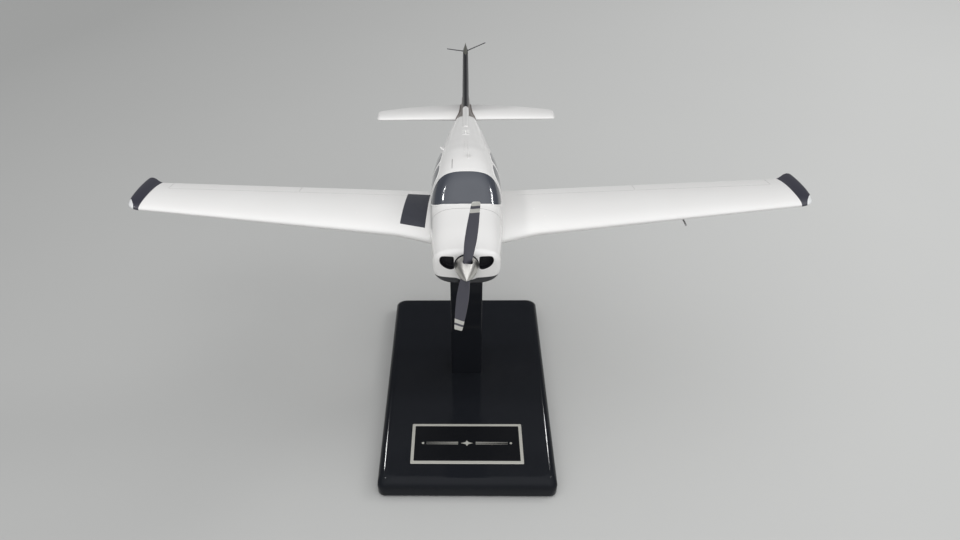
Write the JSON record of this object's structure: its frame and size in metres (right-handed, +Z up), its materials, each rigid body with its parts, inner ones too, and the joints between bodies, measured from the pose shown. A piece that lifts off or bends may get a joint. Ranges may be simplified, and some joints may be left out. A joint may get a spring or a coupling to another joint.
{
  "type": "propeller plane display model",
  "caption": "Low-wing propeller plane desk model in white with charcoal tips, fin and blades, turning propeller, lifted on pins over a black lacquered stand with a plate.",
  "frame": {"origin": "on the table, under the middle of the stand", "axes": "+Z up, the nose points to -Y, the plane's left wing is on the +X side"},
  "size_m": [0.4592, 0.319, 0.2321],
  "materials": {
    "black_lacquer": "high gloss lacquer over wood",
    "felt": "felt",
    "nameplate": "black anodised, engraved through to silver",
    "white_paint": "gloss white paint over carved wood, with charcoal painted areas",
    "charcoal_paint": "satin charcoal paint over carved wood",
    "tinted_glazing": "gloss dark blue-grey tint, opaque",
    "satin_silver": "satin silver",
    "propeller_paint": "satin charcoal paint with off-white tip bands",
    "steel": "plain bright steel",
    "brass": "turned brass",
    "hardwood": "bare hardwood dowel",
    "grip_strip": "fine-grained matt",
    "dark_screen": "matt with a fine mesh",
    "clear_lens": "clear gloss"
  },
  "bodies": {
    "stand": {"felt_pad": "felt", "base": "black_lacquer", "nameplate": "nameplate", "post": "black_lacquer", "post_screw_front": "steel", "post_screw_rear": "steel", "mounting_pin_front": "steel", "mounting_pin_rear": "steel"},
    "airplane": {"fuselage": "white_paint", "windshield": "tinted_glazing", "window_front_left": "tinted_glazing", "window_front_right": "tinted_glazing", "window_rear_left": "tinted_glazing", "window_rear_right": "tinted_glazing", "inlet_screen_left": "dark_screen", "inlet_screen_right": "dark_screen", "wing_left": "white_paint", "wing_right": "white_paint", "wing_dowel_left_front": "hardwood", "wing_dowel_left_rear": "hardwood", "wing_dowel_right_front": "hardwood", "wing_dowel_right_rear": "hardwood", "wingtip_light_left": "clear_lens", "wingtip_light_right": "clear_lens", "wing_walk": "grip_strip", "pitot_tube": "steel", "tailplane_left": "white_paint", "tailplane_right": "white_paint", "tailplane_dowel": "hardwood", "fin": "charcoal_paint", "fin_cap": "white_paint", "fin_dowel_front": "hardwood", "fin_dowel_rear": "hardwood", "whisker_antenna_left": "steel", "whisker_antenna_right": "steel", "roof_antenna": "white_paint", "spine_antenna": "white_paint", "shoulder_antenna": "white_paint", "shaft_bush": "brass"},
    "propeller": {"spinner": "satin_silver", "spinner_backplate": "dark_screen", "propeller": "propeller_paint", "propeller_shaft": "steel", "shaft_collar": "brass"}
  },
  "joints": [
    {"name": "model_lift", "type": "slide", "parent": "stand", "child": "airplane", "axis": [0, 0, 1], "range_m": [0, 0.06]},
    {"name": "propeller_spin", "type": "hinge", "parent": "airplane", "child": "propeller", "pos_m": [0, -0.07853, 0.18739], "axis": [0, -0.9976, 0.0698], "continuous": true}
  ]
}
